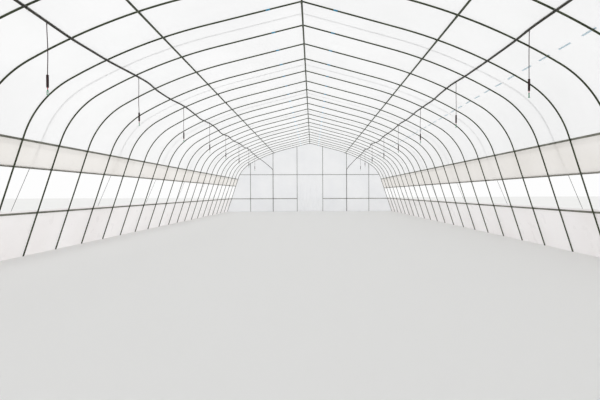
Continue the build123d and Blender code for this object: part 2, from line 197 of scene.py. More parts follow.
def swept(path, sides, corner_at, steady=None):
    """Points and faces of a tube along a path. corner_at gives the angle and the distance from the middle
    for each ring and corner, and steady is the way that the angles start from."""
    points = []
    for ring, middle in enumerate(path):
        way = (path[min(len(path) - 1, ring + 1)] - path[max(0, ring - 1)]).normalized()
        steady = way.orthogonal() if steady is None else steady
        steady = (steady - way * steady.dot(way)).normalized()
        top_way = way.cross(steady)
        for corner in range(sides):
            angle, size = corner_at(ring, corner)
            points.append(middle + steady * (size * math.cos(angle)) + top_way * (size * math.sin(angle)))
    return points, ring_faces(len(path), sides)


def tube_rings(path, radius, sides, steady=None):
    """Points and faces of a tube that follows a list of points. radius may be a list, one for each."""
    sizes = radius if isinstance(radius, list) else [radius] * len(path)
    return swept(path, sides, lambda ring, corner: (2 * math.pi * (corner + 0.5) / sides, sizes[ring]),
                 steady)


def tops_of(node):
    """The middle, at its top, of each upright piece of a CAD node."""
    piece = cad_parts[node]
    groups = []
    for vertex in piece.data.vertices:
        point = piece.matrix_world @ vertex.co
        for group in groups:
            if (group[0] - point).xy.length < 0.1:
                group.append(point)
                break
        else:
            groups.append([point])
    tops = []
    for group in groups:
        low, high = ([limit(axis) for axis in zip(*group)] for limit in (min, max))
        tops.append(Vector(((low[0] + high[0]) / 2, (low[1] + high[1]) / 2, high[2])))
    return sorted(tops, key=lambda top: (top.x, top.y))


tube_plastic = worn_surface("maroon_tube_plastic", tube_maroon, tube_worn, 30.0, 0.4, 0.6, 400.0, 0.0001)
weight_paint = worn_surface("painted_iron", weight_dark, weight_chipped, 45.0, 0.45, 0.7, 500.0, 0.0003)
adapter_plastic = worn_surface("adapter_plastic", adapter_red, adapter_faded, 120.0, 0.3, 0.45, 900.0, 0.0001)
nozzle_plastic = worn_surface("nozzle_plastic", nozzle_green, nozzle_faded, 90.0, 0.25, 0.45, 900.0, 0.0001)

weight_foot = -weight_length
weight_profile = [(0.005, 0), (0.0094, -0.0007), (0.0112, -0.0026), (weight_radius, -0.006)]
weight_profile += [(weight_radius, -0.012), (0.0109, -0.0132), (0.0109, -0.0147), (weight_radius, -0.0158)]
weight_profile += [(radius, weight_foot - height) for radius, height in reversed(weight_profile)]
weight_mesh = mesh_of("drop_weight", [turned(weight_profile, drop_sides)], weight_paint)

adapter_profile = [(0.004, 0), (0.0052, -0.0004), (0.0055, -0.002), (0.0055, -0.006), (0.0037, -0.0066)]
adapter_profile += [(0.0037, -0.0095), (0.0054, -0.0101), (0.0048, -0.0138), (0.0037, -0.0142)]
adapter_profile += [(0.0037, -adapter_length)]
adapter_mesh = mesh_of("drop_adapter", [turned(adapter_profile, drop_sides)], adapter_plastic)

body_profile = [(0.0036, 0), (0.0052, -0.0004), (0.0065, -0.002), (0.0065, -0.0114), (0.0055, -0.0125)]
body_profile += [(0.0055, -0.0152), (0.004, -0.018), (0.0018, -0.0195)]
jet_profile = [(0.001, -0.019), (0.001, -0.0238), (0.0045, -0.0264), (0.0058, -0.0283), (0.0056, -0.0298)]
jet_profile += [(0.002, -0.031), (0.0016, -0.0445), (0.0028, -0.0462)]
plate_profile = [(0.0028, -0.0451), (0.0076, -0.0458), (0.0114, -0.0471), (0.012, -0.0482)]
plate_profile += [(0.0115, -nozzle_length), (0.0032, -0.0493)]
arm_profile = [(0.0045, -0.0144), (0.0076, -0.0149), (0.0092, -0.0165), (nozzle_arm_reach, -0.0195)]
arm_profile += [(nozzle_arm_reach, -0.039), (0.0093, -0.0434), (0.0089, -0.0474)]
nozzle_shapes = [turned(body_profile, 2 * drop_sides, 0.0005), turned(jet_profile, drop_sides, 0.0003)]
nozzle_shapes.append(turned(plate_profile, drop_sides))
for way in (-1, 1):
    arm = [Vector((way * reach, 0, height)) for reach, height in arm_profile]
    nozzle_shapes.append(tube_rings(arm, 0.002, 4, Vector((0, 1, 0))))
nozzle_mesh = mesh_of("drop_nozzle", nozzle_shapes, nozzle_plastic)

drop_turns = random.Random(20)
for number, top in enumerate(tops_of("drop_tubes"), start=1):
    tube_foot = top.z - tube_length
    bows = [drop_turns.uniform(-tube_bow, tube_bow) for _ in range(4)]
    tube_line = bpy.data.curves.new(f"drop_tube_{number}", "CURVE")
    tube_line.dimensions = "3D"
    tube_line.bevel_depth = tube_radius
    tube_line.bevel_resolution = 3
    tube_line.use_fill_caps = True
    tube_line.materials.append(tube_plastic)
    spline = tube_line.splines.new("NURBS")
    route = [top, top - Vector((0, 0, tube_straight)), top + Vector((bows[0], bows[1], -bow_drops[0])),
             top + Vector((bows[2], bows[3], -bow_drops[1])), Vector((top.x, top.y, tube_foot + weight_lead)),
             Vector((top.x, top.y, tube_foot - weight_length))]
    spline.points.add(len(route) - 1)
    for point, place in zip(spline.points, route):
        point.co = (*place, 1)
    spline.order_u = 3
    spline.use_endpoint_u = True
    tube = show_piece(f"drop_tube_{number}", tube_line)
    hung = []
    level = tube_foot
    for mesh, slot, length in (
            (weight_mesh, "drop_weight", weight_length),
            (adapter_mesh, "adapter", adapter_length),
            (nozzle_mesh, "nozzle", nozzle_length)):
        hung.append(show_piece(f"{mesh.name}_{number}", mesh, (top.x, top.y, level)))
        level -= length
    hung[2].rotation_euler.z = drop_turns.uniform(0, math.pi)
    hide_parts("drop_tubes")
    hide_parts("drop_weights")
    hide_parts("drop_adapters")
    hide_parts("drop_nozzles")


# Hoops. Each is two half hoops of 20 mm galvanized pipe, bent cold over a former, pushed into the ground
# and joined over the ridge by a short bent pipe. The zinc is dull and olive, and its colour is painted far
# darker than grey zinc, as painted shade for pipes that stand dark against the bright film.
half_span = 4.06
leg_length = 1.738
leg_lean = math.radians(18.5)
shoulder_radius = 1.285
shoulder_end_slope = math.radians(29.94)
roof_bend_radius = 6.75
roof_pitch = math.radians(14.55)
hoop_spacing = 0.8
hoop_count = 29
pipe_radius = 0.01
half_length = hoop_spacing * (hoop_count - 1) / 2
both_sides = ((-1, "left"), (1, "right"))
upward = Vector((0, 0, 1))
rightward = Vector((1, 0, 0))
along_tunnel = Vector((0, 1, 0))
shade_dark_zinc = (0.032, 0.042, 0.021, 1)
shade_dark_fresh_zinc = (0.066, 0.08, 0.045, 1)

leg_slope = math.pi / 2 - leg_lean
leg_top = Vector((half_span - leg_length * math.sin(leg_lean), 0, leg_length * math.cos(leg_lean)))
shoulder_centre = leg_top - shoulder_radius * Vector((math.sin(leg_slope), 0, math.cos(leg_slope)))
shoulder_end_way = Vector((math.sin(shoulder_end_slope), 0, math.cos(shoulder_end_slope)))
roof_centre = shoulder_centre - (roof_bend_radius - shoulder_radius) * shoulder_end_way
straight_end = roof_centre + roof_bend_radius * Vector((math.sin(roof_pitch), 0, math.cos(roof_pitch)))
ridge_height = straight_end.z + straight_end.x * math.tan(roof_pitch)
roof_straight = straight_end.x / math.cos(roof_pitch)
roof_arc_end = roof_straight + roof_bend_radius * (shoulder_end_slope - roof_pitch)
leg_start = roof_arc_end + shoulder_radius * (leg_slope - shoulder_end_slope)


def hoop_ways(distance, side=1):
    """The ways down along the hoop and out of it, so far down from the ridge."""
    slope = roof_pitch
    if distance > roof_arc_end:
        slope = min(leg_slope, shoulder_end_slope + (distance - roof_arc_end) / shoulder_radius)
    elif distance > roof_straight:
        slope = roof_pitch + (distance - roof_straight) / roof_bend_radius
    downward = Vector((side * math.cos(slope), 0, -math.sin(slope)))
    outward = Vector((side * math.sin(slope), 0, math.cos(slope)))
    return downward, outward


def hoop_point(distance, out, place, side=1):
    """A point so far down from the ridge along a hoop, and so far outside its centre line."""
    downward, outward = hoop_ways(distance)
    if distance < roof_straight:
        point = Vector((0, 0, ridge_height)) + downward * distance
    elif distance < roof_arc_end:
        point = roof_centre + outward * roof_bend_radius
    elif distance < leg_start:
        point = shoulder_centre + outward * shoulder_radius
    else:
        point = leg_top + downward * (distance - leg_start)
    point += outward * out
    return Vector((side * point.x, place, point.z))


def leg_distance(height, out=0.0):
    """How far down from the ridge the leg is at a height, so far outside its centre line."""
    return leg_start + (leg_top.z + out * math.sin(leg_lean) - height) / math.cos(leg_lean)


def roof_distance(reach):
    """How far down from the ridge the wide roof arc is at a distance from the ridge line."""
    slope = math.asin((reach - roof_centre.x) / roof_bend_radius)
    return roof_straight + roof_bend_radius * (slope - roof_pitch)


def hoop_places():
    return [hoop_spacing * number - half_length for number in range(hoop_count)]


def zinc_pipe(name, dull, fresh, patch_scale=9.0):
    material = worn_surface(name, dull, fresh, patch_scale, 0.38, 0.62, 220.0, 0.0004)
    material.node_tree.nodes["Principled BSDF"].inputs["Metallic"].default_value = 0.35
    return material


def dress(material, *nodes):
    for name in nodes:
        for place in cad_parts[name].material_slots:
            place.material = material


# Painted shade: this pipe colour is far darker than grey zinc, for pipes seen dark against the bright film.
shaded_pipe_zinc = zinc_pipe("aged_zinc_pipe_painted_shade", shade_dark_zinc, shade_dark_fresh_zinc)
dress(shaded_pipe_zinc, "left_hoop_pipes", "right_hoop_pipes", "ridge_bends")


# Joint bands. A turn of blue plastic tape covers each joint between a half hoop and the bent pipe at
# the ridge, so that the cut edge of the pipe can't tear the film.
band_distance = 0.45
band_length = 0.055
band_radius = 0.0112
tape_blue = (0.02, 0.19, 0.36, 1)
tape_faded = (0.07, 0.34, 0.48, 1)
tape = worn_surface("blue_joint_tape", tape_blue, tape_faded, 25.0, 0.3, 0.55, 300.0, 0.0002)

bands = []
for place in hoop_places():
    for side in (-1, 1):
        stops = [band_distance + band_length * share for share in (-0.5, -0.45, 0.45, 0.5)]
        line = [hoop_point(stop, 0, place, side) for stop in stops]
        bands.append(tube_rings(line, [pipe_radius, band_radius, band_radius, pipe_radius], 12))
show_piece("joint_bands", mesh_of("joint_bands", bands, tape))


# Long pipes. The ridge purlin and two roof purlins run the whole length inside the hoops, and the roll
# tubes outside them. They are 25 to 28 mm galvanized pipe, joined end to end.
# They take the hoops' zinc colour, which is painted dark as painted shade.
dress(shaded_pipe_zinc, "ridge_purlin", "left_roof_purlin", "right_roof_purlin", "left_roll_tube", "right_roll_tube")


# Crossing clips. A spring of bent wire goes over each hoop and hooks under the purlin, and its own
# springiness holds the two pipes together.
clip_wire = 0.0013
clip_tail = 0.012
purlin_radius = 0.0125
purlin_reach = 1.755
ridge_clip_drop = 0.002
clip_bright = (0.13, 0.135, 0.11, 1)
clip_pale = (0.28, 0.28, 0.25, 1)
wire_zinc = zinc_pipe("bright_spring_wire", clip_bright, clip_pale, 40.0)


def crossing_clip(origin, first_way, second_way, out_way, second_radius):
    """A wire from under the second pipe, up and over the first and back. The first pipe's centre is at
    origin, and the second pipe lies against it on the inner side."""
    apart = pipe_radius + second_radius
    over = pipe_radius + clip_wire
    under = second_radius + clip_wire
    half = (
        (clip_tail, -1.45 * over, -apart - under),
        (0.0, -1.45 * over, -apart - 1.06 * under),
        (-0.72 * under, -1.45 * over, -apart - 0.75 * under),
        (-1.05 * under, -1.4 * over, -apart + 0.1 * under),
        (-1.08 * under, -1.2 * over, -0.5 * over),
        (-1.08 * under, -0.8 * over, 0.62 * over),
        (-1.08 * under, 0.0, over),
    )
    whole = half + tuple((along, -across, out) for along, across, out in half[-2::-1])
    path = [origin + first_way * along + second_way * across + out_way * out for along, across, out in whole]
    return tube_rings(path, clip_wire, 5)


clips = []
purlin_distance = roof_distance(purlin_reach)
for place in hoop_places():
    ridge = Vector((0, place, ridge_height - ridge_clip_drop))
    clips.append(crossing_clip(ridge, rightward, along_tunnel, upward, purlin_radius))
    for side in (-1, 1):
        downward, outward = hoop_ways(purlin_distance, side)
        crossing = hoop_point(purlin_distance, 0, place, side)
        clips.append(crossing_clip(crossing, downward, along_tunnel, outward, purlin_radius))
show_piece("crossing_clips", mesh_of("crossing_clips", clips, wire_zinc))


# Film channels. They are strips of rolled zinc-coated steel with a narrow mouth, screwed to the outside
# of the hoops and the gable posts. A zigzag of spring wire snaps into each and locks the film.
film_seat = pipe_radius + 0.0003
upper_channel_drop = 0.055
base_channel_height = 0.63
door_post_reach = 0.632
wiggle_length = 0.11
wiggle_swing = 0.0085
wiggle_steps = 8
wiggle_radius = 0.0014
wiggle_depth = 0.0065
wiggle_lift = 0.0012
channel_dull = (0.13, 0.132, 0.105, 1)
channel_fresh = (0.24, 0.24, 0.2, 1)
upper_channel_height = leg_top.z - upper_channel_drop
upper_lock = leg_distance(upper_channel_height, film_seat)
base_lock = leg_distance(base_channel_height, film_seat)
channel_zinc = zinc_pipe("aged_channel_steel", channel_dull, channel_fresh, 7.0)
dress(channel_zinc, "left_upper_channel", "right_upper_channel", "left_base_channel", "right_base_channel")
dress(channel_zinc, "far_gable_channels", "near_gable_channels")


def wiggle_wire(start, end, swing_way, out_way):
    """A zigzag wire between two points, swinging to each side of the line between them."""
    steps = max(2, round((end - start).length / wiggle_length * wiggle_steps))
    path = []
    for step in range(steps + 1):
        phase = 2 * math.pi * step / wiggle_steps
        swing = wiggle_swing * max(-1.0, min(1.0, 1.5 * math.sin(phase)))
        lift = wiggle_lift * math.cos(2 * phase)
        path.append(start.lerp(end, step / steps) + swing_way * swing + out_way * (wiggle_depth + lift))
    return tube_rings(path, wiggle_radius, 4)


wiggles = []
for lock in (upper_lock, base_lock):
    for side in (-1, 1):
        downward, outward = hoop_ways(lock, side)
        ends = [hoop_point(lock, film_seat, way * half_length, side) for way in (-1, 1)]
        wiggles.append(wiggle_wire(*ends, downward, outward))
for end in (-1, 1):
    for side in (-1, 1):
        inner = Vector((side * door_post_reach, end * (half_length + film_seat), base_channel_height))
        outer = inner.copy()
        outer.x = hoop_point(base_lock, 0, 0, side).x
        wiggles.append(wiggle_wire(inner, outer, upward, along_tunnel * end))
show_piece("wiggle_wires", mesh_of("wiggle_wires", wiggles, wire_zinc))


# Roof film. One sheet of clear-white greenhouse film lies over the hoops from channel to channel. It is
# pulled tight, so it dips a little between hoops, more under the ropes, and puckers where it is locked.
film_rest = 0.013
film_step_along = 0.05
film_step_across = 0.11
hoop_dip = 0.006
rope_dip = 0.006
ridge_drop = 0.002
pucker = 0.0022
pucker_reach = 0.45
half_channel = 0.014
flap_length = 0.07
flap_ragged = 0.006
flap_waver = 0.008
end_turn_reach = 0.12
rope_first_bay = 2.5
rope_bay_step = 3
rope_count = 9
film_white = (0.93, 0.932, 0.935, 1)
film_grey = (0.87, 0.872, 0.875, 1)


def rope_places():
    first = rope_first_bay * hoop_spacing - half_length
    return [first + hoop_spacing * rope_bay_step * number for number in range(rope_count)]


def film_places():
    """Where the rows of a sheet's points stand along the tunnel. The last few turn over the end hoops."""
    row_count = round(2 * half_length / film_step_along)
    rows = [2 * half_length * row / row_count - half_length for row in range(row_count + 1)]
    overs = [film_rest * math.sin(math.radians(angle)) for angle in (15, 30, 45, 60, 75, 90)]
    return [-half_length - over for over in reversed(overs)] + rows + [half_length + over for over in overs]


def film_dip(distance, place):
    """How far the film lies inside its seat on the hoops, from its sag and the ropes."""
    bay = (max(-half_length, min(half_length, place)) + half_length) / hoop_spacing
    share = bay - math.floor(bay)
    uneven = 0.6 + 0.8 * noise.noise(Vector((math.floor(bay) * 3.7, distance * 0.4, 1.3)))
    dip = hoop_dip * math.sin(math.pi * share) ** 2 * uneven
    nearest = min(abs(place - rope) for rope in rope_places())
    return max(0.0, dip + rope_dip * max(0.0, 1 - nearest / (0.5 * hoop_spacing)) ** 1.5)


def film_pucker(gap, place, seed):
    """Small creases that run away from a locked edge and die out."""
    fade = math.exp(-abs(gap) / pucker_reach)
    wave = noise.noise(Vector((place * 9.0 + 2.0 * gap, gap * 1.5, seed)))
    fine = noise.noise(Vector((place * 23.0 - 5.0 * gap, gap * 3.0, seed + 7.0)))
    return pucker * fade * (wave + 0.5 * fine)


def roof_film_out(distance, place, side):
    """How far outside the hoops' centre line the roof film lies."""
    gap = upper_lock - distance
    out = film_rest - film_dip(distance, place) + film_pucker(gap, place, 2.0 + side)
    over = (abs(place) - half_length) / film_rest
    if over > 0:
        turned_over = film_rest * math.sqrt(max(0.0, 1 - over**2))
        out += (turned_over - out) * min(1.0, gap / end_turn_reach)
    return out


def film_sheet(name, columns, places, point_at, material):
    """A sheet of film. point_at gives each point by its column and its place along the rows."""
    points = [point_at(column, place) for place in places for column in range(columns)]
    faces = []
    for row in range(len(places) - 1):
        for column in range(columns - 1):
            corner = row * columns + column
            faces.append((corner, corner + 1, corner + columns + 1, corner + columns))
    return show_piece(name, mesh_of(name, [(points, faces)], material, 60))


def film_finish(name, pale, shaded, through, clear, smooth=0.1, rough=0.24):
    """Glossy film that sends some light back, lets more through softly and a little straight through."""
    material, nodes, links = new_material(name)
    shader = nodes["Principled BSDF"]
    colour = two_tone(nodes, links, speckle(nodes, links, 0.8, 6.0), shaded, pale, 0.3, 0.6)
    links.new(colour, shader.inputs["Base Color"])
    roughen(nodes, links, shader, speckle(nodes, links, 5.0), smooth, rough)
    emboss(nodes, links, shader, speckle(nodes, links, 9.0, 6.0), 0.2, 0.002)
    glow = add_node(nodes, "ShaderNodeBsdfTranslucent")
    links.new(colour, glow.inputs["Color"])
    window = add_node(nodes, "ShaderNodeBsdfTransparent")
    soft = add_node(nodes, "ShaderNodeMixShader", Fac=through)
    whole = add_node(nodes, "ShaderNodeMixShader", Fac=clear)
    links.new(shader.outputs["BSDF"], soft.inputs[1])
    links.new(glow.outputs["BSDF"], soft.inputs[2])
    links.new(soft.outputs["Shader"], whole.inputs[1])
    links.new(window.outputs["BSDF"], whole.inputs[2])
    links.new(whole.outputs["Shader"], nodes["Material Output"].inputs["Surface"])
    return material


roof_plastic = film_finish("roof_film_plastic", film_white, film_grey, 0.75, 0.36)
roof_edge = upper_lock - half_channel - 0.006
roof_steps = round(roof_edge / film_step_across)
locked_in = [(-0.0085, 0.0125), (-0.006, 0.0114), (-0.0045, 0.007), (0.0, 0.0045)]
locked_in += [(-gap, lift) for gap, lift in reversed(locked_in[:-1])]
lock_stops = [(-0.0125, 0.012), *locked_in, (0.0125, 0.0128), (0.022, 0.0122), (0.04, 0.0112)]
lock_stops += [(0.06, 0.0118), (flap_length + half_channel, 0.0122)]
half_columns = roof_steps + len(lock_stops)


def roof_film_point(column, place):
    """Columns run from the left flap's edge over the ridge to the right flap's edge."""
    side = -1 if column < half_columns else 1
    step = abs(column - half_columns)
    if step == 0:
        return Vector((0, place, ridge_height - ridge_drop + roof_film_out(0, place, side)))
    if step <= roof_steps:
        distance = roof_edge * step / roof_steps
        return hoop_point(distance, roof_film_out(distance, place, side), place, side)
    gap, lift = lock_stops[step - roof_steps - 1]
    loose = max(0.0, gap - 0.02) / flap_length
    ragged = flap_ragged * loose * noise.noise(Vector((place * 6.0, gap * 10.0, 5.0 + side)))
    drop = flap_waver * loose * noise.noise(Vector((place * 2.1, 0.0, 9.0 + side)))
    return hoop_point(upper_lock + gap + drop, film_seat + lift + abs(ragged), place, side)


roof_sheet = film_sheet("roof_sheet", 2 * half_columns + 1, film_places(), roof_film_point, roof_plastic)
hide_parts("roof_film")


# Printed dashes. A row of plain pale blue dashes is printed on the film near its right edge, to show which
# face goes up. Here they are thin patches just inside the film.
dash_distance = 2.95
dash_width = 0.021
dash_length = 0.22
dash_period = 0.41
dash_inset = 0.25
dash_gap = 0.0012
dash_blue = (0.6, 0.76, 0.86, 1)
dash_faded = (0.7, 0.83, 0.9, 1)
dash_ink = worn_surface("faded_dash_ink", dash_blue, dash_faded, 60.0, 0.4, 0.6, 300.0, 0.0001)

dashes = []
for number in range(int((2 * half_length - dash_inset) / dash_period)):
    start = number * dash_period - half_length + dash_inset
    points = []
    for share in (0.0, 0.25, 0.5, 0.75, 1.0):
        place = start + share * dash_length
        for edge in (-0.5, 0.5):
            distance = dash_distance + edge * dash_width
            points.append(hoop_point(distance, roof_film_out(dash_distance, place, 1) - dash_gap, place))
    dashes.append((points, [(2 * step, 2 * step + 1, 2 * step + 3, 2 * step + 2) for step in range(4)]))
show_piece("printed_dashes", mesh_of("printed_dashes", dashes, dash_ink))


# Side curtains. An older film with a warm tinge hangs from the upper channel on each side and winds up on
# the roll tube. It is loose between hoops, and creased at the channel and above the tube.
left_side_open = 0.647
right_side_open = 0.537
roll_radius = 0.014
wind_growth = 0.0003
curtain_billow = 0.007
curtain_turns = 1.1
curtain_steps = 14
curtain_wind_steps = 18
curtain_start = 0.004
curtain_lift = 0.0095
curtain_furthest = 0.0105
curtain_pale = (0.88, 0.85, 0.815, 1)
curtain_shaded = (0.81, 0.775, 0.73, 1)
curtain_plastic = film_finish("side_curtain_plastic", curtain_pale, curtain_shaded, 0.8, 0.15, 0.2, 0.4)
roll_out = film_seat + roll_radius

for (side, side_name), share_open in zip(both_sides, (left_side_open, right_side_open)):
    roll_height = base_channel_height + share_open * (upper_channel_height - base_channel_height)
    hang_start = upper_lock + curtain_start
    hang_end = leg_distance(roll_height, roll_out)

    def curtain_point(column, place, side=side, hang_start=hang_start, hang_end=hang_end):
        """Columns run down from the channel to the tube and then round it."""
        if column <= curtain_steps:
            down = column / curtain_steps
            distance = hang_start + (hang_end - hang_start) * down**1.15
            gap = distance - upper_lock
            lift = curtain_lift if gap < half_channel + 0.003 else 0.0
            bay = (place + half_length) / hoop_spacing
            between = math.sin(math.pi * (bay - math.floor(bay))) ** 2
            billow = curtain_billow * between * math.sin(math.pi * down)
            crease = film_pucker(gap, place, 20.0 + side) * 1.6
            crease += film_pucker(hang_end - distance, place, 30.0 + side) * 1.4
            out = film_seat + lift + billow + max(0.0, 0.001 + crease)
            return hoop_point(distance, min(out, film_seat + curtain_furthest), place, side)
        turns = (column - curtain_steps) / curtain_wind_steps * curtain_turns
        wound_radius = roll_radius + 0.0002 + wind_growth * turns
        downward, outward = hoop_ways(hang_end, side)
        angle = 2 * math.pi * turns
        tube_centre = hoop_point(hang_end, roll_out, place, side)
        return tube_centre + (downward * math.sin(angle) - outward * math.cos(angle)) * wound_radius

    curtain = film_sheet(f"{side_name}_curtain_sheet", curtain_steps + curtain_wind_steps + 1, film_places(),
                         curtain_point, curtain_plastic)
    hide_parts(f"{side_name}_side_curtain")


# Side skirts. A strip of white film closes the foot of each side. Its top is locked in the base channel
# and its lower edge is held down by earth in the real tunnel.
skirt_steps = 10
skirt_wave = 0.006
skirt_flap = 0.04
skirt_gap = 0.003
skirt_white = (0.95, 0.925, 0.925, 1)
skirt_soiled = (0.89, 0.855, 0.85, 1)
skirt_plastic = film_finish("skirt_plastic", skirt_white, skirt_soiled, 0.65, 0.1, 0.2, 0.4)
skirt_stops = [(-skirt_flap, 0.0125), (-0.018, 0.0118), (-0.0125, 0.0124), *locked_in]
skirt_stops += [(0.0125, 0.012), (0.024, 0.004)]

for side, side_name in both_sides:
    foot_distance = leg_distance(0.0, film_seat)

    def skirt_point(column, place, side=side, foot_distance=foot_distance):
        """Columns run from the free flap above the channel down to the ground."""
        if column < len(skirt_stops):
            gap, lift = skirt_stops[column]
            return hoop_point(base_lock + gap, film_seat + lift, place, side)
        down = (column - len(skirt_stops) + 1) / skirt_steps
        top_gap = skirt_stops[-1][0]
        distance = base_lock + top_gap + (foot_distance - base_lock - top_gap) * down
        wave = skirt_wave * down * noise.noise(Vector((place * 3.1, down, 40.0 + side)))
        wave += film_pucker(distance - base_lock, place, 50.0 + side)
        point = hoop_point(distance, film_seat + skirt_gap + abs(wave), place, side)
        return Vector((point.x, point.y, max(0.0, point.z) if down < 1 else 0.0))

    skirt = film_sheet(f"{side_name}_skirt_sheet", len(skirt_stops) + skirt_steps, film_places(), skirt_point,
                       skirt_plastic)
    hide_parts(f"{side_name}_skirt_film")


# Gable frames. Six upright pipes stand under each end hoop, with a level pipe across their inner side
# above the doorway. Spring clips of the same wire hold the two together where they cross.
head_rail_height = 1.81
middle_post_reach = 1.812
outer_post_reach = 2.92
# The posts and rails take the same zinc colour, painted dark as painted shade.
dress(shaded_pipe_zinc, "far_gable_posts", "near_gable_posts", "far_head_rail", "near_head_rail")

gable_clips = []
for end in (-1, 1):
    for reach in (door_post_reach, middle_post_reach, outer_post_reach):
        for side in (-1, 1):
            crossing = Vector((side * reach, end * half_length, head_rail_height))
            gable_clips.append(crossing_clip(crossing, upward, rightward, along_tunnel * end, pipe_radius))
show_piece("gable_clips", mesh_of("gable_clips", gable_clips, wire_zinc))


# Gable films. White film is stretched over the outside of each end's posts, in one piece at each side of
# the doorway and one above it. Upright creases run between the posts, and it is locked at its lower edge.
gable_row_count = 30
gable_column_count = 50
gable_gap = 0.0012
gable_crease = 0.0045
gable_corner_gap = 0.002
both_ends = ((1, "far"), (-1, "near"))
gable_white = (0.93, 0.935, 0.95, 1)
gable_shaded = (0.87, 0.88, 0.905, 1)
gable_plastic = film_finish("gable_plastic", gable_white, gable_shaded, 0.72, 0.18, 0.15, 0.3)
door_edge = door_post_reach - pipe_radius
film_seam = 0.0003


def gable_stand(reach, height, seed):
    """How far a gable film stands off the posts, from its upright creases and its slack."""
    creases = noise.noise(Vector((reach * 7.0, height * 0.9, seed))) + 0.5 * noise.noise(
        Vector((reach * 19.0, height * 2.2, seed + 4.0)))
    return gable_gap + gable_crease * max(0.0, creases)


def roof_line_height(reach, out):
    """Height of the straight roof at a reach from the ridge line, so far outside the hoops' centre line."""
    return ridge_height + out / math.cos(roof_pitch) - reach * math.tan(roof_pitch)


def side_film_stops(low):
    """Reach and top of a side panel, from the doorway to where the outline comes down to its lower edge."""
    nearest = (door_edge - pipe_radius * math.sin(roof_pitch)) / math.cos(roof_pitch)
    furthest = leg_distance(low, pipe_radius) - gable_corner_gap
    tops = [hoop_point(nearest + (furthest - nearest) * step / gable_column_count, pipe_radius, 0)
            for step in range(gable_column_count + 1)]
    return [(top.x, top.z) for top in tops]


def gable_panel(name, stops, low, end, side, stand, material):
    """An upright sheet outside the posts, from its (reach, top) stops, its lower edge and its stand-off."""
    columns = len(stops)
    rows = [row / gable_row_count for row in range(gable_row_count + 1)]

    def panel_point(column, share):
        reach, top = stops[column]
        height = low + (top - low) * share
        return Vector((side * reach, end * (half_length + film_seat + stand(reach, height)), height))

    panel = film_sheet(name, columns, rows, panel_point, material)
    width = stops[-1][0] - stops[0][0]
    tall = max(top for _, top in stops) - low
    area = sum((b - a) * ((c + d) / 2 - low) for (a, c), (b, d) in zip(stops, stops[1:]))
    return panel, (width, tall), area


for end, end_name in both_ends:
    side_low = base_channel_height + half_channel + film_seam
    for side, side_name in both_sides:
        seed = 60.0 + 3 * side + 11 * end
        panel, flat, area = gable_panel(
            f"{end_name}_gable_{side_name}_sheet", side_film_stops(side_low), side_low, end, side,
            lambda reach, height, seed=seed: gable_stand(reach, height, seed), gable_plastic)
        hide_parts(f"{end_name}_gable_film_{side_name}")
    over_edge = door_edge - film_seam
    reaches = [over_edge * (step / 12 - 1) for step in range(25)]
    over_stops = [(reach, roof_line_height(abs(reach), pipe_radius)) for reach in reaches]
    panel, flat, area = gable_panel(
        f"{end_name}_gable_top_sheet", over_stops, head_rail_height - pipe_radius, end, 1,
        lambda reach, height, seed=90.0 + end: gable_stand(reach, height, seed), gable_plastic)
    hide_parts(f"{end_name}_gable_film_over_door")


# Gable skirts. Strips of the gables' own white film close the foot of each gable beside the doorway. They
# are locked in the gable channels and hang loose below them.
gable_skirt_wave = 0.007
foot_gap = 0.003
skirt_corner_steps = 6
skirt_corner_rise = 0.004
skirt_top = base_channel_height - half_channel - film_seam
for end, end_name in both_ends:
    for side, side_name in both_sides:
        full_reach = hoop_point(leg_distance(skirt_top, pipe_radius), pipe_radius, 0).x
        foot_reach = hoop_point(leg_distance(0.0, pipe_radius), pipe_radius, 0).x - foot_gap
        stops = [(door_edge + (full_reach - door_edge) * step / gable_column_count, skirt_top)
                 for step in range(gable_column_count + 1)]
        stops += [(full_reach + (foot_reach - full_reach) * step / skirt_corner_steps,
                   skirt_top * (1 - step / skirt_corner_steps) + skirt_corner_rise)
                  for step in range(1, skirt_corner_steps + 1)]

        def skirt_stand(reach, height, seed=120.0 + 5 * side + end):
            loose = 1 - height / skirt_top
            waves = noise.noise(Vector((reach * 4.0, height * 0.6, seed)))
            return gable_stand(reach, height, seed) + gable_skirt_wave * loose * max(0.0, waves)

        name = f"{end_name}_gable_skirt_{side_name}_sheet"
        panel, flat, area = gable_panel(name, stops, 0.0, end, side, skirt_stand, gable_plastic)
        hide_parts(f"{end_name}_gable_skirts")


# Far door curtain. A loose sheet of film hangs in the far doorway from the lower edge of the one above it,
# in soft upright folds that open towards the ground. It stops just clear of the ground.
curtain_foot = 0.015
curtain_top = head_rail_height - pipe_radius - film_seam
fold_depth = 0.011
fold_width = 0.17
curtain_gap = 0.0015


def curtain_stand(reach, height):
    fallen = (curtain_top - height) / (curtain_top - curtain_foot)
    drift = 1.6 * noise.noise(Vector((reach * 1.7, height * 0.8, 70.0)))
    fold = math.sin(2 * math.pi * reach / fold_width + drift)
    folds = curtain_gap + fold_depth * fallen**0.6 * (0.5 + 0.5 * fold)
    return folds + 0.4 * gable_stand(reach, height, 75.0)


hang_stops = [(over_edge * (step / 48 - 1), curtain_top) for step in range(97)]
door_curtain, flat = gable_panel("far_door_curtain_sheet", hang_stops, curtain_foot, 1, 1, curtain_stand,
                                 gable_plastic)[:2]
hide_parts("far_door_curtain")


